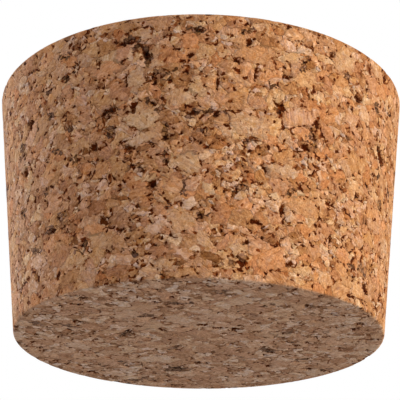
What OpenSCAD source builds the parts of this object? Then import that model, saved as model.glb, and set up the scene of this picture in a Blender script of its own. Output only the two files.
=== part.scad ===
// Tapered stopper of pressed cork: one solid frustum, narrow end down, with lightly worn rims.
// Millimetres, +Z up, origin at the centre of the small end face.

/* [Body] */
// Diameter of the large end, at the sharp corner before the rim is rounded
large_d = 75; // [40:0.2:120]
// Diameter of the small end, at the sharp corner before the rim is rounded
small_d = 65.6; // [30:0.2:110]
// Height from the small end face to the large end face
height = 45; // [15:0.5:120]

/* [Rims] */
// Radius that the large end's rim is worn to
large_rim_r = 0.5; // [0.1:0.1:4]
// Radius that the small end's rim is worn to
small_rim_r = 0.4; // [0.1:0.1:4]

/* [Colour] */
// Colour of the pressed granules, as red, green and blue shares
cork_colour = [0.72, 0.5, 0.33]; // [0:0.01:1]

/* [Hidden] */
// Straight steps that stand for each rim's arc
rim_steps = 6;
// Segments round the axis
round_fn = 180;
// Lean of the side wall from the axis
wall_angle = atan((large_d - small_d) / 2 / height);

// Radius of the side wall at height z
function wall_r(z) = small_d / 2 + z * tan(wall_angle);

// Points on an arc of radius r about the centre c, from one angle to another
function arc(c, r, from, to) = [
    for (i = [0 : rim_steps])
        let (a = from + (to - from) * i / rim_steps)
            [c[0] + r * cos(a), c[1] + r * sin(a)]
];

// Centre of a rim's arc of radius r, whose middle lies at height z and which touches the side wall
function rim_centre(z, r) = [wall_r(z) - r / cos(wall_angle), z];

// Half section: axis, small end face, small rim, side wall, large rim, large end face
module half_section() {
    polygon(concat(
        [[0, 0]],
        arc(rim_centre(small_rim_r, small_rim_r), small_rim_r, -90, -wall_angle),
        arc(rim_centre(height - large_rim_r, large_rim_r), large_rim_r, -wall_angle, 90),
        [[0, height]]
    ));
}

// The whole stopper, which is cut and turned from one pressed rod
module stopper() {
    color(cork_colour)
        rotate_extrude($fn = round_fn)
            half_section();
}

stopper();
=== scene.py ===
"""A tapered stopper of pressed cork, seen from below its small end.

The CAD solid gives the outline. One dense mesh with the same outline stands for it. The granules are a
solid pattern in millimetres, built once as a node graph and used twice: as geometry nodes it presses the
gaps and pits into the mesh, and as a shader it colours the same granules.
"""

import math
from collections import namedtuple

import bpy
import numpy as np
from mathutils import Matrix, Vector


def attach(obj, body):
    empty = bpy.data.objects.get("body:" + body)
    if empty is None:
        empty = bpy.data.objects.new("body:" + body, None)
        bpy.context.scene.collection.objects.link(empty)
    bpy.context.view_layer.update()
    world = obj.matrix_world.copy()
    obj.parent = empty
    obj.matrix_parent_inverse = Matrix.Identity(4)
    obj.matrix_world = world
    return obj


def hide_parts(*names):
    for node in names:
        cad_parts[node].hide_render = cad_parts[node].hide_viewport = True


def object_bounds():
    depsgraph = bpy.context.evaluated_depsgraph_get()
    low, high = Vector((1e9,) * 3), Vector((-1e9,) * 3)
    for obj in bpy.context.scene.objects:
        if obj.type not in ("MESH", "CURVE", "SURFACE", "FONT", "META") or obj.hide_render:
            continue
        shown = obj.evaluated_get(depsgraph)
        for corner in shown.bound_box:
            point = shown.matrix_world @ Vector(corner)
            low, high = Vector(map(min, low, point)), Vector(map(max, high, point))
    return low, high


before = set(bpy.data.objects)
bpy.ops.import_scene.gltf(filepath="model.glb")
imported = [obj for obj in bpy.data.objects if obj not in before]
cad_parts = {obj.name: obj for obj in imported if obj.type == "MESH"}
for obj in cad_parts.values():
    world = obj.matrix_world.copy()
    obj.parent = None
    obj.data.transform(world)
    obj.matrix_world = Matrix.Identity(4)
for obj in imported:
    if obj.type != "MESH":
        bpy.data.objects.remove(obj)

MM = 0.001
cad_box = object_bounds()

# ---------------------------------------------------------------- mesh
NODE = "stopper"
PIECE = "cork_stopper"

DISC_RINGS = 84  # rings of each end face
COLUMNS = 6 * DISC_RINGS  # columns of the wall, as many as the points of an end's edge
WALL_ROWS = 104  # rows of the wall between the two rims
RIM_STEP = 2  # every second ring of the CAD rims is used
LEAST_BEND = 0.05  # degrees that the CAD outline turns at a ring that is kept
FLAT_ENOUGH = 0.7  # a point is on an end face where its normal's z is above this, up or down
MAP_GAP = 2 * MM  # between the islands of the flat map
MAP_STRIPS = 3  # the wall lies on the flat map in this many strips

# What the mesh keeps at its points, for the node graphs to read. Distances are in millimetres.
REST = "rest_place"  # where the point lay before the pits were pressed in
FLAKE = "flake_edge"  # how far inside the nearest large flake, below 0 outside
FLAKE_TINT = "flake_tint"  # that flake's random number, how pale it is and its cast
VOID = "void_edge"  # how far inside the nearest void, below 0 outside
BARK = "bark_edge"  # how far inside the nearest patch of bark, below 0 outside
PIT_SHARE = "pit_share"  # how much of the full depth a pit reaches: little at the two rims
RIM_DARK = "rim_darkening_and_shade"  # how much darker the wall is painted beside the two rims: painted shade on the large rim's rounded edge, and a darker band beside the small rim
CUT = "cut_face"  # 1 on the two ends, which were sliced, and 0 on the wall, which was ground

# ---------------------------------------------------------------- granules, in millimetres unless named
# Each size of granule: its width, the share of its cells that hold one, how far their tints differ, and
# how far away its cells and its cracks are read, so that no two sizes agree. A cell that holds none shows
# the smaller sizes, and the last size fills what is left.
Size = namedtuple("Size", "width share differ shift crack_shift")
GRAINS = (
    Size(2.8, 0.47, 0.52, (0, 0, 0), (3.3, 8.1, 1.9)),
    Size(1.7, 0.64, 0.82, (31.7, 11.3, 5.1), (3.3, 17.1, 1.9)),
    Size(0.95, 1.0, 0.95, (63.4, 22.6, 10.2), (3.3, 26.1, 1.9)),
)
# The large flakes lie where marks place them, so they need no share and no cells
FLAKES = Size(width=5.0, share=None, differ=0.66, shift=None, crack_shift=(7.3, 1.1, 4.9))
SMALL = 4.0  # narrower granules than this can be bark or lie loose
FLATTEN = 1.2  # granules are this much wider than high

# Noises that bend borders and roughen edges: size, detail and roughness
SLOW_BEND = (2.6, 1, 0.5)
QUICK_BEND = (0.6, 3, 0.7)
FINE = (0.32, 2, 0.5)
ROUGH = (1.0, 3, 0.6)
TORN = (0.7, 3, 0.75)
TORN_SHIFT = (5.7, 2.3, 6.1)  # how far away the last one is read
# How far they move a border or an edge
SLOW_REACH = 1.9
QUICK_REACH = 0.24
JOG = 0.15  # of a granule's width, by which the smallest granules step its border
ROUGH_BARK = 2.0
ROUGH_FLAKE = 1.2
BITE = 0.7  # out of a flake's edge, by the smallest granules
FINE_BITE = 0.35  # out of it, by the fine noise
BITTEN_VOID = 0.60  # share of those two that a void's edge has
TORN_VOID = 1.3
SHRINK = 0.12  # taken off every flake
LOOSE = (-1.3, 0.3)  # how far inside bark the granules begin to lie loose, and do so fully
VOID_LIP = (-0.02, 0.22)  # how far inside a void it begins to sink, and is at full depth
WHOLE = (0.1, 0.4)  # how far inside a flake the cracks under it fade, and are gone

CRACKS = 0.235  # half the widest crack between granules
SMALL_CRACKS = 0.8  # share of that for granules less than 1 mm wide
END_CRACKS = 0.66  # share of that on the ends
CRACK_RUN = (0.70, 0.20)  # size of the noise that opens cracks, and what each millimetre of granule adds
CRACK_ROOM = (0.555, 0.71)  # values of that noise at which a crack begins, and is at its widest
LOOSE_ROOM = 0.03  # what loose granules add to it
FINE_CRACK = 0.10  # how far a crack's edge wanders
CRACK_SHOWN = (0.03, 0.11)  # widths at which a crack begins to show, and shows fully
CRACK_LIP = (-0.08, 0.05)  # distance from a crack's edge at which it is fully open, and closed
CRACK_SHADE_REACH = (0.02, 0.40)  # distance from a crack's edge over which the painted shade beside it fades
CRACK_FLOOR = (1.5, 2, 0.6)  # noise along a crack that varies its depth
CRACK_SHALLOW = (0.38, 0.56, 0.45, 1.0)  # from these values of it, the share of full depth

VOID_DEPTH = 0.55
CRACK_DEPTH = 0.22
GRAIN_STEP = 0.05  # granules stand up to this much lower than the highest ones
RIM_CALM = 0.9  # within this distance of a rim the pits are shallow
LEAST_PIT = 0.15  # share of their depth that is left at the rim itself
# The darkening beside each rim: how dark, how far from the rim it is darkest, and how wide.
# Beside the large rim it is painted shade on the rounded edge, and beside the small rim a darker band.
SMALL_RIM_DARKENING = (0.09, 1.6, 1.1)
LARGE_RIM_SHADE = (0.20, 0.0, 0.7)

# ---------------------------------------------------------------- marks that stand out, in millimetres
# Each is placed on the wall by degrees round from the front, to the right, and by height, and has a width,
# a height and a lean in degrees, anticlockwise. On the small end, x and y stand for the first two.
# A flake also has a paleness, 0 to 1, or a little more or less for the palest and the darkest, and a cast,
# a place in CASTS below. Most marks were placed one by one. About 30 of those on the wall stand, rounded,
# where a scratch script listed the render as paler or darker than the photograph.
Mark = namedtuple("Mark", "across up wide high lean pale cast", defaults=(0.0, 0.5, 0.5))

WALL_FLAKES = [
    Mark(-16, 27.0, 6.2, 4.2, -15, 0.90, 0.35),
    Mark(-16, 23.7, 5.4, 2.8, 20, 0.84, 0.45),
    Mark(-27, 16.5, 2.8, 2.6, 0, 1.00, 0.75),
    Mark(-33, 16.6, 2.0, 3.2, 0, 0.96, 0.70),
    Mark(-25, 36.5, 6.2, 2.6, 12, 0.72, 0.02),
    Mark(-21, 39.0, 3.4, 2.8, 0, 0.50, 0.80),
    Mark(28, 40.5, 3.8, 2.2, 0, 1.00, 0.60),
    Mark(-7, 37.4, 5.0, 3.0, 0, 0.30, 0.05),
    Mark(-11, 4.8, 4.4, 2.2, 0, 0.15, 0.85),
    Mark(-15, 17.0, 3.4, 1.4, 5, 0.85, 0.30),
    Mark(-40, 2.4, 4.4, 2.4, 0, 0.20, 0.40),
    Mark(2, 14.8, 2.6, 2.0, 0, 0.90, 0.35),
    Mark(11, 4.9, 2.8, 1.8, 0, 0.90, 0.40),
    Mark(-14, 41.5, 2.6, 1.8, 0, 0.75, 0.50),
    Mark(60, 1.8, 4.0, 2.0, 0, 0.30, 0.40),
    Mark(24, 38.8, 4.4, 2.0, 10, 0.85, 0.35),
    Mark(41, 41.0, 5.4, 4.2, 0, 0.74, 0.50),
    Mark(28, 28.7, 6.4, 3.0, 15, 0.76, 0.75),
    Mark(22, 19.2, 6.6, 2.4, -5, 0.80, 0.55),
    Mark(-12, 8.4, 2.8, 2.3, -10, 1.00, 0.90),
    Mark(-64, 21.6, 3.8, 2.4, 0, 0.85, 0.95),
    Mark(-3, 18.8, 3.8, 4.4, 0, 0.80, 0.40),
    Mark(-5, 29.9, 5.4, 3.4, 20, 0.78, 0.45),
    Mark(14, 26.0, 6.6, 4.0, 0, 0.70, 0.50),
    Mark(-53, 7.0, 5.4, 3.0, 0, 0.90, 0.70),
    Mark(20, 4.0, 6.0, 4.0, 15, 0.60, 0.05),
    Mark(14, 38.2, 6.2, 3.8, 0, 0.55, 0.15),
    Mark(-29, 13.0, 4.0, 3.0, 10, -0.15, 0.85),
    Mark(-2, 21.4, 3.2, 2.4, 0, 0.42, 0.95),
    Mark(30, 13.5, 5.4, 3.8, 0, 0.60, 0.20),
    Mark(-30, 9.5, 5.0, 2.2, -10, 0.62, 0.05),
    Mark(-28, 7.2, 4.6, 2.2, -10, 0.70, 0.40),
    Mark(3, 3.4, 3.4, 1.7, -15, -0.30, 0.30),
    Mark(-5, 9.6, 4.4, 3.4, -20, 0.84, 0.20),
    Mark(-17, 34.4, 3.8, 3.4, 0, 0.82, 0.45),
    Mark(-1, 31.8, 3.8, 2.4, -20, 0.86, 0.35),
    Mark(6, 37.6, 2.4, 2.0, 0, 0.85, 0.40),
    Mark(-5, 4.0, 4.0, 1.6, -25, 0.84, 0.75),
    Mark(-9, 2.4, 4.6, 1.8, -5, 0.78, 0.40),
    Mark(-7, 15.4, 3.6, 3.0, 0, 0.74, 0.10),
    Mark(30, 2.8, 3.8, 2.2, 0, 0.74, 0.30),
    Mark(18, 40.8, 3.6, 2.4, 0, -0.05, 0.20),
    Mark(20, 14.4, 2.2, 1.2, 0, 1.10, 0.30),
    Mark(28, 15.6, 1.8, 1.1, 0, 1.10, 0.30),
]
WALL_BARK = [
    Mark(-18, 40.8, 4.6, 2.0, -8),
    Mark(-14, 38.2, 1.6, 3.4, 15),
    Mark(-1, 42.0, 2.8, 1.5, -20),
    Mark(-24, 29.0, 4.8, 1.4, 5),
    Mark(-12, 29.0, 4.4, 1.2, -35),
    Mark(-9, 25.5, 1.4, 4.0, 0),
    Mark(-10, 34.2, 2.8, 1.8, 0),
    Mark(20, 33.4, 2.8, 1.1, -15),
    Mark(-2, 27.5, 2.8, 1.2, 15),
    Mark(-20, 23.0, 2.0, 1.2, -30),
    Mark(-25, 25.4, 2.4, 1.8, 0),
    Mark(-9, 20.2, 1.2, 2.2, 0),
    Mark(-19, 4.6, 2.2, 0.9, -10),
    Mark(-38, 27.8, 2.0, 1.4, 0),
    Mark(1, 10.2, 1.8, 1.6, 0),
    Mark(11, 15.0, 2.2, 1.4, 0),
    Mark(10, 3.2, 2.4, 1.4, 0),
    Mark(-17, 18.6, 3.4, 0.8, -5),
    Mark(-10, 13.1, 2.4, 0.9, -50),
    Mark(-4, 15.0, 1.0, 4.2, 0),
    Mark(-45, 31.6, 2.2, 1.7, -20),
    Mark(-39, 41.0, 2.4, 1.5, -20),
    Mark(-38, 37.0, 2.8, 1.2, -15),
    Mark(-45, 36.0, 2.8, 1.1, -20),
    Mark(-43, 24.5, 1.8, 0.9, -10),
    Mark(-36, 22.5, 2.6, 2.4, 0),
    Mark(-48, 18.7, 1.8, 1.6, 30),
    Mark(-61, 17.5, 1.8, 1.6, 0),
    Mark(-42, 13.0, 2.8, 1.7, -10),
    Mark(-47, 11.2, 3.0, 1.6, -5),
    Mark(-54, 9.2, 2.8, 1.3, -20),
    Mark(-35, 6.8, 3.0, 1.8, 35),
    Mark(22, 29.0, 2.0, 1.2, -30),
    Mark(31, 25.2, 3.0, 1.8, -30),
    Mark(12, 23.4, 2.6, 1.6, -20),
    Mark(26, 15.6, 2.6, 0.9, 30),
    Mark(17, 7.0, 2.8, 1.4, 10),
    Mark(43, 38.9, 2.4, 1.0, 0),
    Mark(46, 27.4, 2.0, 1.4, 0),
    Mark(8, 27.0, 2.8, 1.2, -20),
    Mark(2, 27.5, 2.8, 1.4, 0),
    Mark(0, 24.6, 1.8, 0.9, 0),
    Mark(28, 38.0, 1.0, 3.6, -35),
    Mark(7, 2.8, 3.0, 1.0, -12),
]
WALL_VOIDS = [
    Mark(-19, 40.7, 2.4, 0.6, 5),
    Mark(-16, 39.6, 1.6, 0.7, -50),
    Mark(-1, 41.8, 1.8, 0.8, -15),
    Mark(-14, 38.2, 0.9, 1.9, 15),
    Mark(-3, 37.8, 1.7, 0.9, 15),
    Mark(9, 36.8, 1.0, 1.0, 0),
    Mark(12, 40.1, 1.6, 1.2, 0),
    Mark(-2, 27.5, 1.8, 0.6, 12),
    Mark(5, 2.2, 2.2, 0.6, -5),
    Mark(14, 35.3, 0.7, 1.9, 15),
    Mark(20, 30.3, 1.7, 0.6, -40),
    Mark(-12, 33.2, 0.9, 0.9, 0),
    Mark(-18, 29.0, 0.9, 2.3, -10),
    Mark(-13, 29.8, 2.0, 0.6, -40),
    Mark(-13, 15.8, 1.0, 1.7, 0),
    Mark(4, 32.8, 0.7, 3.2, 8),
    Mark(-20, 34.3, 0.6, 2.4, 0),
    Mark(-25, 29.2, 2.6, 0.8, 10),
    Mark(-9, 23.5, 1.1, 1.0, 0),
    Mark(-19, 22.5, 1.2, 0.8, 0),
    Mark(-17, 21.0, 1.3, 0.7, 30),
    Mark(0, 22.4, 0.7, 0.8, -30),
    Mark(-27, 10.7, 1.9, 1.3, -30),
    Mark(-22, 8.7, 4.4, 0.6, -17),
    Mark(-8, 7.0, 2.6, 0.7, -35),
    Mark(4, 27.2, 1.5, 0.9, 0),
    Mark(-55, 31.8, 1.5, 1.3, 0),
    Mark(-35, 38.8, 1.9, 0.7, -10),
    Mark(-28, 38.2, 0.8, 1.3, 0),
    Mark(-30, 23.8, 1.3, 1.7, 0),
    Mark(-46, 11.4, 2.3, 1.0, -5),
    Mark(33, 28.5, 0.9, 2.1, -15),
    Mark(32, 26.4, 2.3, 0.9, -50),
    Mark(30, 23.8, 2.4, 0.8, -30),
    Mark(23, 35.0, 1.9, 0.7, 0),
    Mark(37, 41.3, 0.8, 1.5, -30),
    Mark(49, 18.4, 0.8, 1.8, -15),
    Mark(40, 15.3, 3.0, 0.6, -8),
    Mark(17, 19.2, 0.8, 2.1, 15),
    Mark(16, 9.8, 2.9, 0.8, -10),
    Mark(23, 11.8, 0.8, 2.1, 15),
    Mark(13, 6.2, 1.1, 1.3, -50),
    Mark(39, 8.8, 0.8, 2.3, 0),
    Mark(62, 28.2, 3.4, 2.0, -20),
]
END_BARK = [Mark(-4, 19.0, 5.0, 3.0, 0), Mark(-3, -20.5, 4.0, 1.6, 0)]
END_VOIDS = [Mark(18, -19.0, 1.0, 2.4, 0), Mark(13, 16.0, 1.2, 1.4, 0)]
END_FLAKES = [Mark(-8, 12.0, 6.0, 4.0, 0, 0.85, 0.6), Mark(22, 20.0, 4.0, 5.0, 0, 0.8, 0.5)]

SEED = 7
# How many more marks are tried over the whole surface, and the range of their widths
SCATTER = {FLAKE: (150, (3.0, 6.5)), BARK: (130, (1.4, 3.6)), VOID: (260, (0.8, 2.2))}
SCATTER_HIGH = (0.4, 0.8)  # their height, as a share of the width
SCATTER_LEAN = (-60, 60)
SCATTER_PALE = (0.25, 0.85)
CLEAR = 7.0  # a scattered mark is at least this far from one of its kind placed above
FAR = -3.0  # the distance kept where no mark is near
MARK_SIDES = (4, 7)  # the fewest sides of a mark, and one more than the most
MARK_SKEW = (-0.3, 0.3)  # how far a side turns, as a share of the turn between two sides
MARK_ROOM = (0.8, 1.1)  # how far out a side lies, as a share of half the mark's width or height
MARK_DEEP = 0.3  # a mark goes this much further under the surface than half its smaller side
LEAST_EAST = 0.5  # where the way round is shorter than this, the face is an end, and x stands for it


# ---------------------------------------------------------------- node graphs
class Graph:
    """Short calls that add nodes to a shader or geometry node tree."""

    def __init__(self, tree):
        self.tree = tree

    def node(self, kind, inputs=(), **settings):
        made = self.tree.nodes.new(kind)
        for name, value in settings.items():
            setattr(made, name, value)
        for key, value in dict(inputs).items():
            self.put(made.inputs[key], value)
        return made

    def put(self, socket, value):
        if isinstance(value, bpy.types.NodeSocket):
            self.tree.links.new(value, socket)
        else:
            socket.default_value = value

    def math(self, operation, a, b=0.0, clamp=False):
        return self.node("ShaderNodeMath", {0: a, 1: b}, operation=operation, use_clamp=clamp).outputs[0]

    def plus(self, a, b):
        return self.math("ADD", a, b)

    def minus(self, a, b):
        return self.math("SUBTRACT", a, b)

    def times(self, a, b):
        return self.math("MULTIPLY", a, b)

    def most(self, a, b):
        return self.math("MAXIMUM", a, b)

    def below(self, a, b):
        """1 where a is less than b, and 0 elsewhere."""
        return self.math("LESS_THAN", a, b)

    def vector(self, operation, a, b=(0, 0, 0)):
        made = self.node("ShaderNodeVectorMath", {0: a, 1: b}, operation=operation)
        return made.outputs["Value" if operation in ("DOT_PRODUCT", "LENGTH") else "Vector"]

    def moved(self, a, b):
        return self.vector("ADD", a, b)

    def scaled(self, a, factor):
        made = self.node("ShaderNodeVectorMath", {0: a, "Scale": factor}, operation="SCALE")
        return made.outputs["Vector"]

    def centred(self, colour):
        """A random colour, each part 0 to 1, as a vector with parts from -0.5 to 0.5."""
        return self.vector("SUBTRACT", colour, (0.5, 0.5, 0.5))

    def parts(self, vector):
        return self.node("ShaderNodeSeparateXYZ", {0: vector}).outputs

    def attribute(self, name, kind="VALUE"):
        """What the mesh keeps under a name, in either kind of tree."""
        if self.tree.type == "GEOMETRY":
            data_type = {"VALUE": "FLOAT", "VECTOR": "FLOAT_VECTOR"}[kind]
            made = self.node("GeometryNodeInputNamedAttribute", {"Name": name}, data_type=data_type)
            return made.outputs[0]
        found = self.node("ShaderNodeAttribute", attribute_name=name, attribute_type="GEOMETRY").outputs
        return found[{"VALUE": "Fac", "VECTOR": "Vector"}[kind]]

    def on_ends(self, value):
        """1 on the wall, and value on the two ends."""
        return self.between(self.attribute(CUT), 0.0, 1.0, 1.0, value)

    def noises(self, place, size, detail=2, roughness=0.5):
        """A smooth noise from 0 to 1, and a colour of three such noises."""
        inputs = {"Vector": place, "Scale": 1 / size, "Detail": detail, "Roughness": roughness}
        return self.node("ShaderNodeTexNoise", inputs).outputs

    def noise(self, place, size, detail=2, roughness=0.5):
        return self.noises(place, size, detail, roughness)[0]

    def cells(self, place, size):
        """Of the Voronoi cell at place: its random colour, the distance to its edge in millimetres,
        and the height there of a plane through its middle, at a random slope."""
        inputs = {"Vector": place, "Scale": 1 / size}
        cell = self.node("ShaderNodeTexVoronoi", inputs, feature="F1").outputs
        edge = self.node("ShaderNodeTexVoronoi", inputs, feature="DISTANCE_TO_EDGE").outputs["Distance"]
        from_middle = self.vector("SUBTRACT", place, cell["Position"])
        plane = self.vector("DOT_PRODUCT", from_middle, self.centred(cell["Color"]))
        return cell["Color"], self.times(edge, size), plane

    def dots(self, place, size):
        """Distance from the nearest point of a random set, in millimetres, and its random colour."""
        made = self.node("ShaderNodeTexVoronoi", {"Vector": place, "Scale": 1 / size}, feature="F1")
        return self.times(made.outputs["Distance"], size), made.outputs["Color"]

    def between(self, value, low, high, out_low=0.0, out_high=1.0, smooth=True):
        """value from low to high as out_low to out_high, held at the ends."""
        inputs = {"Value": value, "From Min": low, "From Max": high, "To Min": out_low, "To Max": out_high}
        kind = "SMOOTHSTEP" if smooth else "LINEAR"
        return self.node("ShaderNodeMapRange", inputs, interpolation_type=kind).outputs["Result"]

    def mix(self, factor, a, b, data_type="RGBA", blend="MIX"):
        made = self.node("ShaderNodeMix", data_type=data_type, blend_type=blend)
        first = {"FLOAT": 2, "RGBA": 6}[data_type]
        self.put(made.inputs[0], factor)
        self.put(made.inputs[first], a)
        self.put(made.inputs[first + 1], b)
        return made.outputs[{"FLOAT": 0, "RGBA": 2}[data_type]]

    def tinted(self, factor, colour, tint):
        """colour, multiplied by tint as far as factor says."""
        return self.mix(factor, colour, tint, blend="MULTIPLY")

    def ramp(self, factor, stops):
        made = self.node("ShaderNodeValToRGB", {0: factor})
        ramp = made.color_ramp
        while len(ramp.elements) < len(stops):
            ramp.elements.new(0.5)
        for element, (place, colour) in zip(ramp.elements, stops):
            element.position = place
            element.color = colour
        return made.outputs["Color"]


def srgb(red, green, blue):
    """Linear colour of an 8-bit sRGB one."""

    def linear(value):
        value /= 255
        return value / 12.92 if value <= 0.04045 else ((value + 0.055) / 1.055) ** 2.4

    return linear(red), linear(green), linear(blue), 1.0


Pattern = namedtuple(
    "Pattern",
    "place tint spread edge tilt chip facet crease size crack void stain gloom loose",
)


def granules(g):
    """The solid pattern of pressed granules, at a point's rest place.

    Of the granule there, tint is the random colour, spread how far the tints of its size differ, size its
    width, edge the distance to its border and tilt the height of its sloping face. Of the smallest
    granule there, which a larger one shows as a facet, chip, crease and facet are the same three: colour,
    distance and height. crack and void are how open those are, and stain how strong the painted
    shade beside a crack is. gloom is how far inside bark the place is, with a rough edge, and loose how
    loosely the granules lie there."""
    place = g.attribute(REST, "VECTOR")
    flat = g.vector("MULTIPLY", place, (1, 1, FLATTEN))
    slow = g.scaled(g.centred(g.noises(flat, *SLOW_BEND)[1]), SLOW_REACH)
    quick = g.scaled(g.centred(g.noises(flat, *QUICK_BEND)[1]), QUICK_REACH)
    bent = g.moved(flat, g.moved(slow, quick))
    fine = g.minus(g.noise(place, *FINE), 0.5)
    rough = g.minus(g.noise(place, *ROUGH), 0.5)
    gloom = g.plus(g.attribute(BARK), g.times(rough, ROUGH_BARK))
    loose = g.between(gloom, *LOOSE)

    least = GRAINS[-1]
    chip, crease, facet = g.cells(g.moved(bent, least.shift), least.width)
    crack, stain = split(g, crease, fine, loose, place, least)
    tint, edge, tilt, spread, size = chip, crease, facet, least.differ, least.width
    jog = g.centred(chip)
    for grain in reversed(GRAINS[:-1]):
        spot = g.moved(g.moved(bent, grain.shift), g.scaled(jog, JOG * grain.width))
        colour, border, plane = g.cells(spot, grain.width)
        opened, shade_beside = split(g, border, fine, loose, place, grain)
        held = g.below(g.parts(colour)[0], grain.share)
        tint = g.mix(held, tint, colour)
        edge = g.mix(held, edge, border, "FLOAT")
        tilt = g.mix(held, tilt, plane, "FLOAT")
        spread = g.mix(held, spread, grain.differ, "FLOAT")
        size = g.mix(held, size, grain.width, "FLOAT")
        crack = g.mix(held, g.most(crack, opened), opened, "FLOAT")
        stain = g.mix(held, g.most(stain, shade_beside), shade_beside, "FLOAT")

    bite = g.times(g.minus(g.parts(chip)[0], 0.5), BITE)
    ragged = g.plus(bite, g.times(fine, FINE_BITE))
    inside = g.plus(g.attribute(FLAKE), g.plus(g.times(rough, ROUGH_FLAKE), ragged))
    inside = g.minus(inside, SHRINK)
    held = g.math("GREATER_THAN", inside, 0.0)
    tint = g.mix(held, tint, g.attribute(FLAKE_TINT, "VECTOR"))
    edge = g.mix(held, edge, inside, "FLOAT")
    tilt = g.mix(held, tilt, 0.0, "FLOAT")
    spread = g.mix(held, spread, FLAKES.differ, "FLOAT")
    size = g.mix(held, size, FLAKES.width, "FLOAT")
    outer = g.minus(1.0, g.between(inside, *WHOLE))
    opened, shade_beside = split(g, g.math("ABSOLUTE", inside), fine, loose, place, FLAKES)
    crack = g.most(g.times(crack, outer), opened)
    stain = g.most(g.times(stain, outer), shade_beside)

    torn = g.minus(g.noise(g.moved(place, TORN_SHIFT), *TORN), 0.5)
    torn = g.plus(g.times(ragged, BITTEN_VOID), g.times(torn, TORN_VOID))
    void = g.between(g.plus(g.attribute(VOID), torn), *VOID_LIP)
    return Pattern(
        place, tint, spread, edge, tilt, chip, facet, crease, size, crack, void, stain, gloom, loose
    )


def split(g, edge, fine, loose, place, grain):
    """How open the crack along a border is, and how strong the painted shade beside it."""
    place = g.moved(place, grain.crack_shift)
    room = g.noise(place, CRACK_RUN[0] + CRACK_RUN[1] * grain.width, 1)
    room = g.plus(room, g.times(loose, LOOSE_ROOM))
    widest = CRACKS if grain.width > 1 else SMALL_CRACKS * CRACKS
    width = g.times(g.between(room, *CRACK_ROOM, 0.0, widest), g.on_ends(END_CRACKS))
    away = g.minus(g.plus(edge, g.times(fine, FINE_CRACK)), width)
    there = g.between(width, *CRACK_SHOWN)
    deep = g.between(g.noise(place, *CRACK_FLOOR), *CRACK_SHALLOW)
    opened = g.times(g.times(there, deep), g.between(away, *CRACK_LIP, 1.0, 0.0))
    stain = g.times(there, g.between(away, *CRACK_SHADE_REACH, 1.0, 0.0))
    return opened, stain


# ---------------------------------------------------------------- mesh
def outline(node):
    """(radius, height) of each ring of the CAD solid's outline, from the small end up, in metres."""
    rings = {}
    for vertex in node.data.vertices:
        height = round(vertex.co.z, 6)
        rings[height] = max(rings.get(height, 0.0), vertex.co.xy.length)
    points = [(rings[height], height) for height in sorted(rings)]
    return [
        point
        for before, point, after in zip([None, *points], points, [*points[1:], None])
        if before is None or after is None or bends(before, point, after)
    ]


def bends(before, point, after):
    """Whether the outline turns at point."""
    turns = [math.atan2(b[0] - a[0], b[1] - a[1]) for a, b in ((before, point), (point, after))]
    return abs(turns[1] - turns[0]) > math.radians(LEAST_BEND)


def wall_rings(profile):
    """Rings from the small end's edge to the large end's, with the wall between the rims cut into rows."""
    heights = [height for _, height in profile]
    wall_start = int(np.argmax(np.diff(heights)))
    small_rim = profile[: wall_start + 1 : RIM_STEP]
    large_rim = profile[wall_start + 1 :: RIM_STEP]
    shares = np.linspace(0, 1, WALL_ROWS + 1)[1:-1, None]
    low, high = np.array(small_rim[-1]), np.array(large_rim[0])
    return np.vstack([small_rim, low + (high - low) * shares, large_rim])


def disc_points(radius, height):
    """A centre and DISC_RINGS - 1 rings inside the edge, ring k with 6 k points."""
    points = [np.array([[0.0, 0.0, height]])]
    for ring in range(1, DISC_RINGS):
        turn = np.arange(6 * ring) * (2 * math.pi / (6 * ring))
        reach = radius * ring / DISC_RINGS
        points.append(np.stack([reach * np.cos(turn), reach * np.sin(turn), np.full(6 * ring, height)], 1))
    return np.vstack(points)


def disc_triangles(first, edge_first):
    """Triangles of a disc whose inner points start at first and whose edge ring starts at edge_first."""

    def index(ring, at):
        # Between the centre and a ring lie 3 ring (ring - 1) points
        if ring == 0:
            return np.full_like(at, first)
        start = edge_first if ring == DISC_RINGS else first + 1 + 3 * ring * (ring - 1)
        return start + at % (6 * ring)

    made = []
    for ring in range(DISC_RINGS):
        for sector in range(6):
            i = np.arange(ring + 1)
            inner, outer = sector * ring + i, sector * (ring + 1) + i
            corners = index(ring, inner), index(ring + 1, outer), index(ring + 1, outer + 1)
            made.append(np.stack(corners, 1))
            i = i[:-1]
            inner, outer = sector * ring + i, sector * (ring + 1) + i
            corners = index(ring, inner), index(ring + 1, outer + 1), index(ring, inner + 1)
            made.append(np.stack(corners, 1))
    return np.vstack(made)


def stopper_mesh(profile):
    """The closed mesh: the wall in quads, the two ends in triangles, and a flat map of it all."""
    rings = wall_rings(profile)
    turn = np.arange(COLUMNS) * (2 * math.pi / COLUMNS)
    wall = np.stack(
        [
            rings[:, :1] * np.cos(turn),
            rings[:, :1] * np.sin(turn),
            np.repeat(rings[:, 1:], COLUMNS, 1),
        ],
        2,
    ).reshape(-1, 3)
    small_end = disc_points(*rings[0])
    large_end = disc_points(*rings[-1])
    points = np.vstack([wall, small_end, large_end])

    row, column = np.meshgrid(np.arange(len(rings) - 1), np.arange(COLUMNS), indexing="ij")
    here, after = row * COLUMNS + column, row * COLUMNS + (column + 1) % COLUMNS
    quads = np.stack([here, after, after + COLUMNS, here + COLUMNS], 2).reshape(-1, 4)
    small_faces = disc_triangles(len(wall), 0)[:, ::-1]
    large_faces = disc_triangles(len(wall) + len(small_end), len(wall) - COLUMNS)

    mesh = bpy.data.meshes.new(PIECE)
    faces = [*quads.tolist(), *small_faces.tolist(), *large_faces.tolist()]
    mesh.from_pydata(points.tolist(), [], faces)
    flat_map(mesh, rings, len(quads), len(small_faces))
    mesh.shade_smooth()
    mesh.validate()
    return mesh


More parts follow.
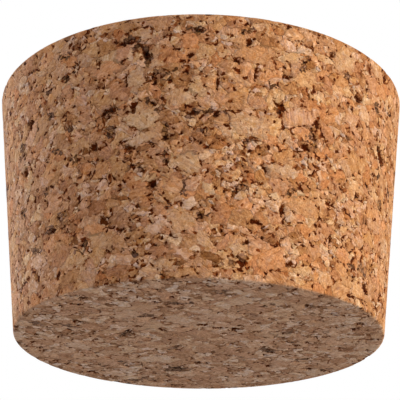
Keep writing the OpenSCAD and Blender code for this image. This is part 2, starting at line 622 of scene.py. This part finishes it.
def flat_map(mesh, rings, quads, small_faces):
    """UV map for the baked colours: the strips of wall in one column, the two ends in the other."""
    corners = np.empty(len(mesh.loops), int)
    mesh.loops.foreach_get("vertex_index", corners)
    points = np.empty(len(mesh.vertices) * 3)
    mesh.vertices.foreach_get("co", points)
    points = points.reshape(-1, 3)[corners]

    run = np.concatenate([[0], np.cumsum(np.hypot(*np.diff(rings, axis=0).T))])
    strip_high = run[-1]
    strip_wide = 2 * math.pi * rings[:, 0].mean() / MAP_STRIPS
    large_r, small_r = rings[-1, 0], rings[0, 0]
    map_wide = 3 * MAP_GAP + strip_wide + 2 * large_r
    map_high = (MAP_STRIPS + 1) * MAP_GAP + MAP_STRIPS * strip_high

    uv = np.empty((len(corners), 2))
    wall = slice(0, quads * 4)
    rows = quads // COLUMNS
    column = np.tile([0, 1, 1, 0], quads) + np.repeat(np.tile(np.arange(COLUMNS), rows), 4)
    strip = np.repeat(np.tile(np.arange(COLUMNS) * MAP_STRIPS // COLUMNS, rows), 4)
    row = np.tile([0, 0, 1, 1], quads) + np.repeat(np.arange(rows), 4 * COLUMNS)
    uv[wall, 0] = MAP_GAP + (column * MAP_STRIPS / COLUMNS - strip) * strip_wide
    uv[wall, 1] = MAP_GAP + strip * (strip_high + MAP_GAP) + run[row]

    small = slice(wall.stop, wall.stop + small_faces * 3)
    large = slice(small.stop, len(corners))
    middle = 2 * MAP_GAP + strip_wide + large_r
    uv[small] = points[small, :2] * (1, -1) + (middle, MAP_GAP + small_r)
    uv[large] = points[large, :2] + (middle, 2 * MAP_GAP + 2 * small_r + large_r)

    layer = mesh.uv_layers.new(name="OFBake")
    layer.uv.foreach_set("vector", (uv / max(map_wide, map_high)).astype(np.float32).ravel())


# ---------------------------------------------------------------- marks
def on_wall(marks, profile):
    """The places of marks given by degrees from the front and by height, in millimetres."""
    radii, heights = np.array(profile).T / MM
    turn = np.radians([mark.across for mark in marks])
    up = np.array([mark.up for mark in marks])
    radius = np.interp(up, heights, radii)
    return np.stack([radius * np.sin(turn), -radius * np.cos(turn), up], 1)


def on_small_end(marks):
    return np.array([(mark.across, mark.up, 0.0) for mark in marks])


def scattered(count, widths, points, placed, rng):
    """Random marks at random points of the mesh, clear of the places already used."""
    made = []
    for start in points[rng.integers(len(points), size=count)]:
        wide = rng.uniform(*widths)
        high = wide * rng.uniform(*SCATTER_HIGH)
        lean = rng.uniform(*SCATTER_LEAN)
        mark = Mark(0, 0, wide, high, lean, rng.uniform(*SCATTER_PALE), rng.random())
        if np.linalg.norm(placed - start, axis=1).min() > CLEAR:
            made.append((mark, start))
    return made


def reach_in(points, normal, middle, mark, rng):
    """How far each point lies inside the mark, a flat chip with a few random sides."""
    east = np.cross((0, 0, 1), normal)
    length = np.linalg.norm(east)
    east = np.array((1.0, 0, 0)) if length < LEAST_EAST else east / length
    north = np.cross(normal, east)
    away = points - middle
    lean = math.radians(mark.lean)
    along = away @ (east * math.cos(lean) + north * math.sin(lean))
    over = away @ (north * math.cos(lean) - east * math.sin(lean))
    inside = min(mark.wide, mark.high) / 2 + MARK_DEEP - abs(away @ normal)
    sides = rng.integers(*MARK_SIDES)
    for side in range(sides):
        turn = (side + rng.uniform(*MARK_SKEW)) * 2 * math.pi / sides
        slope = Vector((math.cos(turn) / mark.wide, math.sin(turn) / mark.high)) * 2
        room = rng.uniform(*MARK_ROOM) - along * slope.x - over * slope.y
        inside = np.minimum(inside, room / slope.length)
    return inside


def mark_points(mesh, profile):
    """Keeps at each point of the mesh what the node graphs read there."""
    count = len(mesh.vertices)
    points = np.empty(count * 3)
    mesh.vertices.foreach_get("co", points)
    points = points.reshape(-1, 3) / MM
    normals = np.empty(count * 3)
    mesh.vertex_normals.foreach_get("vector", normals)
    normals = normals.reshape(-1, 3)
    rng = np.random.default_rng(SEED)

    kept = {}
    placed = {
        FLAKE: (WALL_FLAKES, END_FLAKES),
        BARK: (WALL_BARK, END_BARK),
        VOID: (WALL_VOIDS, END_VOIDS),
    }
    for name, (wall, end) in placed.items():
        places = np.vstack([on_wall(wall, profile), on_small_end(end)])
        marks = [*zip([*wall, *end], places), *scattered(*SCATTER[name], points, places, rng)]
        nearest = np.full(count, FAR)
        tints = np.zeros((count, 3))
        for mark, middle in marks:
            near = np.nonzero(np.abs(points - middle).max(1) < mark.wide / 2 - FAR)[0]
            start = near[np.linalg.norm(points[near] - middle, axis=1).argmin()]
            inside = reach_in(points[near], normals[start], points[start], mark, rng)
            better = inside > nearest[near]
            nearest[near[better]] = inside[better]
            tints[near[better]] = rng.random(), mark.pale, mark.cast
        kept[name] = nearest
        if name == FLAKE:
            kept[FLAKE_TINT] = tints

    radius = np.linalg.norm(points[:, :2], axis=1)
    rims = [np.hypot(radius - r / MM, points[:, 2] - z / MM) for r, z in (profile[0], profile[-1])]
    kept[PIT_SHARE] = np.clip(np.minimum(*rims) / RIM_CALM, LEAST_PIT, 1)
    kept[CUT] = np.where(np.abs(normals[:, 2]) > FLAT_ENOUGH, 1.0, 0.0)
    # Painted shade on the large rim's rounded edge, and a darker band beside the small rim
    darkened = darkening(rims[0], *SMALL_RIM_DARKENING) + darkening(rims[1], *LARGE_RIM_SHADE)
    kept[RIM_DARK] = darkened * (1 - kept[CUT])
    kept[REST] = points
    for name, values in kept.items():
        vector = values.ndim == 2
        layer = mesh.attributes.new(name, "FLOAT_VECTOR" if vector else "FLOAT", "POINT")
        layer.data.foreach_set("vector" if vector else "value", values.astype(np.float32).ravel())


def darkening(distance, most, middle, width):
    """How much darker the wall is at a distance from a rim."""
    return most * np.exp(-(((distance - middle) / width) ** 2))


def press_in(piece):
    """Geometry nodes that sink the voids, the cracks and the lower granules, then applied."""
    tree = bpy.data.node_groups.new("press_in", "GeometryNodeTree")
    tree.interface.new_socket("Geometry", in_out="INPUT", socket_type="NodeSocketGeometry")
    tree.interface.new_socket("Geometry", in_out="OUTPUT", socket_type="NodeSocketGeometry")
    g = Graph(tree)
    start = g.node("NodeGroupInput").outputs[0]
    depth = g.scaled(g.node("GeometryNodeInputNormal").outputs[0], sink(g))
    moved = g.node("GeometryNodeSetPosition", {"Geometry": start, "Offset": g.scaled(depth, -MM)}).outputs[0]
    end = g.node("NodeGroupOutput")
    g.put(end.inputs[0], moved)

    modifier = piece.modifiers.new("press_in", "NODES")
    modifier.node_group = tree
    shown = piece.evaluated_get(bpy.context.evaluated_depsgraph_get())
    pressed = bpy.data.meshes.new_from_object(shown)
    piece.modifiers.clear()
    piece.data = pressed


def sink(g):
    """How far the surface lies under the outline, in millimetres."""
    grain = granules(g)
    step = g.times(g.parts(grain.tint)[0], GRAIN_STEP)
    pit = g.most(g.times(grain.void, VOID_DEPTH), g.times(grain.crack, CRACK_DEPTH))
    return g.plus(g.times(pit, g.attribute(PIT_SHARE)), step)


# ---------------------------------------------------------------- materials
# Tints of a granule, from the darkest to the palest. They began as a scratch script's averages of the
# photograph's tints, from its darkest parts to its palest, and were then adjusted against renders.
GRAIN_TINTS = [
    (0.00, srgb(144, 87, 47)),
    (0.10, srgb(165, 106, 63)),
    (0.28, srgb(190, 128, 82)),
    (0.48, srgb(207, 145, 98)),
    (0.68, srgb(220, 160, 113)),
    (0.84, srgb(228, 172, 127)),
    (0.93, srgb(235, 183, 140)),
    (1.00, srgb(242, 194, 156)),
]
# Casts that pull a granule towards red, ochre, pink or grey
CASTS = [
    (0.0, (1.07, 0.89, 0.76, 1)),
    (0.3, (1.01, 0.99, 0.86, 1)),
    (0.55, (1.00, 1.00, 0.98, 1)),
    (0.8, (1.04, 0.955, 0.96, 1)),
    (1.0, (0.98, 1.00, 1.03, 1)),
]
BARK_TINTS = [(0.28, srgb(110, 74, 52)), (0.45, srgb(146, 101, 70)), (0.72, srgb(188, 133, 92))]
# The rest are what a colour is multiplied by: between two chips of bark, along a closed border, and
# beside a crack, where it is painted shade
CLEFT_TINT = (0.40, 0.29, 0.21, 1)
SEAM_TINT = (0.84, 0.74, 0.65, 1)
CRACK_SHADE_TINT = (0.72, 0.56, 0.42, 1)
# On the ends, from the darkest granule to the palest: a cooler, paler cast, partly the sliced face's own
# colour and partly painted cool shade
CUT_FACE_AND_SHADE_TINTS = [(0.40, (1.01, 1.08, 1.25, 1)), (0.90, (1.02, 1.08, 1.12, 1))]
# Across the fine streaks, from dark to pale
STREAK_TINTS = [(0.25, (0.60, 0.50, 0.43, 1)), (0.75, (1.24, 1.29, 1.32, 1))]
# From the lip of a gap or pore to its floor: the floor's own dark colour and, in the gaps, partly painted
# shade
GAP_FLOOR_AND_SHADE_TINTS = [
    (0.00, (1.00, 1.00, 1.00, 1)),
    (0.30, (0.68, 0.50, 0.36, 1)),
    (0.60, (0.40, 0.20, 0.08, 1)),
    (0.85, (0.21, 0.07, 0.015, 1)),
    (1.00, (0.11, 0.038, 0.009, 1)),
]
# In dark places, from rusty to greyer
DARK_CASTS = [(0.36, (1.09, 0.98, 0.58, 1)), (0.64, (0.93, 1.01, 1.36, 1))]

# How pale a granule is, 0 to 1: the middle level, the random number that gives it, and what changes it
MIDDLE_LEVEL = 0.63
MIDDLE_NUMBER = 0.54
END_SPREAD = 1.15  # how much further the tints differ on the ends
CHIP_SPREAD = 0.24  # how far the facets of one granule differ
LOOSE_DARK = 0.06  # how much darker loose granules are
MOTTLE_SPREAD = 0.38
END_HUES = 0.35  # how strong the casts are on the ends

# Streaks, mottling and pores inside a granule: how far they are drawn out along its grain, 1 being
# without end, and the size, detail and roughness of their noise
STREAK_DRAWN = 0.93
STREAK_NOISE = (0.36, 3, 0.75)
MOTTLE_DRAWN = 0.55
MOTTLE_NOISE = (0.7, 4, 0.75)
PORE_DRAWN = 0.6
PORE_APART = 1.1  # distance between pores
PORE_SIZE = (0.62, 1.0, 0.0, 0.22)  # random numbers that give a pore, and the radii they give
PORE_RAGGED = 0.6
PORE_LIP = (0.0, 0.12, 0.75, 0.0)  # distance from a pore's edge, and how dark it is there
GRAIN_APART = 60  # how far apart two granules read those noises

# Bark: how far inside a patch its chips begin, and where they have their largest share
BARK_CHIPS = (-0.4, 0.5, 0.0, 0.85)
BARK_NOISE = (0.5, 3, 0.75)
CLEFT_WIDTH = (0.02, 0.15)
# Seams and the painted shade beside cracks: the noise that shows them, its values where they begin and are
# strongest
SEAM_NOISE = (1.1, 2)
SEAM_SHOWN = (0.42, 0.60, 0.0, 1.0)
SEAM_WIDTH = 0.14
CRACK_SHADE_NOISE = (0.9, 2)
CRACK_SHADE_SHOWN = (0.42, 0.62, 0.0, 0.75)
DARK_STREAKS = (0.30, 0.60, 1.0, 0.0)  # the streak noise, and how far it makes a dark place
GAP_STREAKS = (0.3, 0.65, 0.80, 1.0)  # the streak noise, and the share of a gap's colour that shows there
RUST_NOISE = (1.3, 3, 0.7)  # picks the cast of a dark place
RUST_SHIFT = (2.9, 4.1, 7.7)

# Bump: how far each raises or lowers the surface, in millimetres at its full strength
STREAK_LIFT = 0.42
GAP_SINK = 0.4
MOTTLE_LIFT = 0.60
PORE_SINK = 0.15
EDGE_SINK = (0.0, 0.28, -0.16, 0.0)  # from a granule's border inwards
TILT_LIFT = 0.75
FACET_LIFT = 0.65
CREASE_SINK = (0.0, 0.14, -0.035, 0.0)  # from the smallest granule's border inwards
BUMP_STRENGTH = 0.85
ROUGHNESS = (0.3, 0.7, 0.90, 0.74)  # from dark mottling to pale


def new_material(name):
    """An empty material, and calls to fill it with nodes."""
    material = bpy.data.materials.new(name)
    material.use_nodes = True
    material.node_tree.nodes.clear()
    return material, Graph(material.node_tree)


def fibres(g, grain):
    """The cork inside a granule, drawn out along a random way of its own: fine streaks, broader mottling
    and pores, each from 0 to 1."""
    toss = g.node("ShaderNodeTexWhiteNoise", {"Vector": grain.tint}).outputs["Color"]
    way = g.vector("NORMALIZE", g.centred(toss))
    along = g.scaled(way, g.vector("DOT_PRODUCT", grain.place, way))
    apart = g.moved(grain.place, g.scaled(grain.tint, GRAIN_APART))
    streak = g.noise(g.vector("SUBTRACT", apart, g.scaled(along, STREAK_DRAWN)), *STREAK_NOISE)
    mottle = g.noise(g.vector("SUBTRACT", apart, g.scaled(along, MOTTLE_DRAWN)), *MOTTLE_NOISE)

    away, number = g.dots(g.vector("SUBTRACT", apart, g.scaled(along, PORE_DRAWN)), PORE_APART)
    radius = g.between(g.parts(number)[0], *PORE_SIZE, smooth=False)
    away = g.plus(away, g.times(g.minus(streak, 0.5), PORE_RAGGED))
    pore = g.between(g.minus(away, radius), *PORE_LIP)
    return streak, mottle, pore


def paleness(g, grain, small, mottle):
    """How pale the cork is, 0 to 1, before bark, seams and gaps."""
    reach = g.times(grain.spread, g.on_ends(END_SPREAD))
    level = g.plus(MIDDLE_LEVEL, g.times(g.minus(g.parts(grain.tint)[1], MIDDLE_NUMBER), reach))
    level = g.plus(level, g.times(g.minus(g.parts(grain.chip)[1], 0.5), CHIP_SPREAD))
    # The wall is painted darker beside the rims, with painted shade on the large rim's rounded edge
    level = g.minus(level, g.attribute(RIM_DARK))
    level = g.minus(level, g.times(g.times(grain.loose, small), LOOSE_DARK))
    mottling = g.between(mottle, 0.25, 0.75, -MOTTLE_SPREAD, MOTTLE_SPREAD, smooth=False)
    return g.math("ADD", level, mottling, clamp=True)


def cork_colour(g, grain, streak, mottle, pore):
    """The colour of the cork, and how far the place lies down a gap."""
    small = g.below(grain.size, SMALL)
    level = paleness(g, grain, small, mottle)
    hue = g.on_ends(END_HUES)
    colour = g.tinted(hue, g.ramp(level, GRAIN_TINTS), g.ramp(g.parts(grain.tint)[2], CASTS))

    bark_share = g.between(grain.gloom, *BARK_CHIPS, smooth=False)
    bark = g.times(g.below(g.parts(grain.chip)[0], bark_share), small)
    dusk = g.times(g.plus(g.noise(grain.place, *BARK_NOISE), g.parts(grain.chip)[2]), 0.5)
    colour = g.mix(bark, colour, g.ramp(dusk, BARK_TINTS))
    cleft = g.times(bark, g.between(grain.crease, *CLEFT_WIDTH, 1.0, 0.0))
    colour = g.tinted(cleft, colour, CLEFT_TINT)
    # A cooler, paler cast on the ends, partly painted cool shade
    colour = g.tinted(g.attribute(CUT), colour, g.ramp(level, CUT_FACE_AND_SHADE_TINTS))
    colour = g.tinted(1.0, colour, g.ramp(streak, STREAK_TINTS))

    seam = g.between(g.noise(grain.place, *SEAM_NOISE), *SEAM_SHOWN)
    colour = g.tinted(g.between(grain.edge, 0.0, SEAM_WIDTH, seam, 0.0), colour, SEAM_TINT)
    # Painted shade beside the cracks, where the noise lets it show
    stain = g.times(grain.stain, g.between(g.noise(grain.place, *CRACK_SHADE_NOISE), *CRACK_SHADE_SHOWN))
    colour = g.tinted(stain, colour, CRACK_SHADE_TINT)

    gap = g.most(grain.crack, grain.void)
    hole = g.most(pore, g.times(gap, g.between(streak, *GAP_STREAKS)))
    # Gaps and pores darken towards their floor. In the gaps this is partly painted shade.
    colour = g.tinted(1.0, colour, g.ramp(hole, GAP_FLOOR_AND_SHADE_TINTS))
    dark = g.most(g.between(streak, *DARK_STREAKS), g.most(gap, bark))
    rust = g.noise(g.moved(grain.place, RUST_SHIFT), *RUST_NOISE)
    return g.tinted(g.times(dark, hue), colour, g.ramp(rust, DARK_CASTS)), gap


def relief(g, grain, streak, mottle, pore, gap):
    """The normal of a surface with the fine grain that the mesh is too coarse for."""
    lift = g.minus(g.times(streak, STREAK_LIFT), g.times(gap, GAP_SINK))
    lift = g.plus(lift, g.times(mottle, MOTTLE_LIFT))
    lift = g.minus(lift, g.times(pore, PORE_SINK))
    lift = g.plus(lift, g.between(grain.edge, *EDGE_SINK))
    lift = g.plus(lift, g.times(grain.tilt, TILT_LIFT))
    lift = g.plus(lift, g.times(grain.facet, FACET_LIFT))
    lift = g.plus(lift, g.between(grain.crease, *CREASE_SINK))
    bump = {"Strength": BUMP_STRENGTH, "Distance": MM, "Height": lift}
    return g.node("ShaderNodeBump", bump).outputs[0]


def cork_material():
    material, g = new_material("pressed_cork")
    grain = granules(g)
    streak, mottle, pore = fibres(g, grain)
    colour, gap = cork_colour(g, grain, streak, mottle, pore)
    normal = relief(g, grain, streak, mottle, pore, gap)

    shader = g.node("ShaderNodeBsdfPrincipled", {"Base Color": colour, "Normal": normal})
    g.put(shader.inputs["Roughness"], g.between(mottle, *ROUGHNESS))
    shader.inputs["Specular IOR Level"].default_value = 0.02
    shader.inputs["Sheen Weight"].default_value = 0.14
    shader.inputs["Sheen Roughness"].default_value = 0.3
    shader.inputs["Sheen Tint"].default_value = (1.0, 0.72, 0.36, 1)
    g.put(g.node("ShaderNodeOutputMaterial").inputs["Surface"], shader.outputs[0])
    return material


# ---------------------------------------------------------------- scene, in metres
FLOOR_COLOUR = (0.88, 0.86, 0.81, 1)
FLOOR_REACH = 3.0
FLOOR_HEIGHT = -0.0003  # just under the stopper
FLOOR_FADE = (0.12, 0.60)  # distances from the middle at which the floor begins to fade, and is gone

CAMERA_TILT = 21.8  # degrees that it looks up
CAMERA_ROLL = 0.53  # degrees
CAMERA_DISTANCE = 7.04  # from the stopper's middle, in radii of the large end
CAMERA_AIM = 0.122  # above that middle, in the same radii
CAMERA_LENS = 129
CAMERA_SENSOR = 36
CAMERA_CLIP = 0.01

# Name, place, watts and colour of each lamp
LAMPS = (
    ("key", (0.725, -0.19, 0.02), 5.4, (1.0, 0.98, 0.82)),
    ("back", (-0.57, 0.47, 0.15), 5.3, (0.84, 1.06, 1.38)),
)
LAMP_SIZE = 0.40
LAMP_AIM = (0, 0, 0.02)
# The room that lights the object, from below and from above, and the heights of the ray between which
# it changes, where straight up is 1
ROOM_TINTS = [(0.0, (0.44, 0.51, 0.67, 1)), (1.0, (0.85, 0.90, 1.00, 1))]
ROOM_CHANGE = (-0.15, 0.25)


def floor_material():
    """Pale and plain. The floor shows only to a camera above it, so a camera below sees through it, and it
    fades into the white background away from the middle."""
    material, g = new_material("pale_floor")
    seen = g.node("ShaderNodeLightPath").outputs["Is Camera Ray"]
    point = g.node("ShaderNodeNewGeometry").outputs
    shown = g.times(seen, g.minus(1.0, point["Backfacing"]))
    far = g.vector("LENGTH", point["Position"])
    shown = g.times(shown, g.between(far, *FLOOR_FADE, 1.0, 0.0))
    diffuse = g.node("ShaderNodeBsdfDiffuse", {"Color": FLOOR_COLOUR}).outputs[0]
    clear = g.node("ShaderNodeBsdfTransparent").outputs[0]
    mixed = g.node("ShaderNodeMixShader", {0: shown, 1: clear, 2: diffuse}).outputs[0]
    g.put(g.node("ShaderNodeOutputMaterial").inputs["Surface"], mixed)
    return material


def add_camera():
    """The photograph's view: below the small end, looking up at the wall."""
    low, high = cad_box
    middle = (low + high) / 2
    large_r = (high.x - low.x) / 2
    tilt = math.radians(CAMERA_TILT)
    data = bpy.data.cameras.new("camera")
    data.sensor_width = CAMERA_SENSOR
    data.lens = CAMERA_LENS
    data.clip_start = CAMERA_CLIP
    camera = bpy.data.objects.new("camera", data)
    bpy.context.scene.collection.objects.link(camera)
    way = Vector((0, -math.cos(tilt), -math.sin(tilt)))
    camera.location = middle + way * (CAMERA_DISTANCE * large_r)
    aim = middle + Vector((0, 0, CAMERA_AIM * large_r))
    look = (aim - camera.location).to_track_quat("-Z", "Y").to_matrix().to_4x4()
    roll = Matrix.Rotation(math.radians(CAMERA_ROLL), 4, "Z")
    camera.matrix_world = Matrix.Translation(camera.location) @ look @ roll
    bpy.context.scene.camera = camera


def add_lamp(name, place, watts, colour):
    data = bpy.data.lights.new(name, "AREA")
    data.size = LAMP_SIZE
    data.energy = watts
    data.color = colour
    light = bpy.data.objects.new(name, data)
    bpy.context.scene.collection.objects.link(light)
    light.location = place
    light.rotation_euler = (Vector(LAMP_AIM) - Vector(place)).to_track_quat("-Z", "Y").to_euler()


def add_world():
    """White to the camera, and a dimmer, slightly cool room to the object."""
    world = bpy.data.worlds.new("studio")
    bpy.context.scene.world = world
    world.use_nodes = True
    world.node_tree.nodes.clear()
    g = Graph(world.node_tree)
    path = g.node("ShaderNodeLightPath").outputs
    shown = g.most(path["Is Camera Ray"], path["Is Glossy Ray"])
    shown = g.most(shown, path["Is Transmission Ray"])
    up = g.parts(g.node("ShaderNodeTexCoord").outputs["Generated"])[2]
    room = g.ramp(g.between(up, *ROOM_CHANGE), ROOM_TINTS)
    background = g.node("ShaderNodeBackground", {"Color": g.mix(shown, room, (1, 1, 1, 1))})
    g.put(g.node("ShaderNodeOutputWorld").inputs["Surface"], background.outputs[0])


def add_floor():
    mesh = bpy.data.meshes.new("floor")
    sides = ((-1, -1), (1, -1), (1, 1), (-1, 1))
    corners = [(x * FLOOR_REACH, y * FLOOR_REACH, FLOOR_HEIGHT) for x, y in sides]
    mesh.from_pydata(corners, [], [(0, 1, 2, 3)])
    floor = bpy.data.objects.new("floor", mesh)
    bpy.context.scene.collection.objects.link(floor)
    mesh.materials.append(floor_material())


def add_stopper():
    profile = outline(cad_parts[NODE])
    mesh = stopper_mesh(profile)
    mark_points(mesh, profile)
    piece = bpy.data.objects.new(PIECE, mesh)
    bpy.context.scene.collection.objects.link(piece)
    press_in(piece)
    piece.data.materials.append(cork_material())
    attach(piece, "root")
    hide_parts(NODE)


bpy.context.scene.view_settings.view_transform = "Standard"
add_camera()
add_world()
add_floor()
for lamp in LAMPS:
    add_lamp(*lamp)
add_stopper()
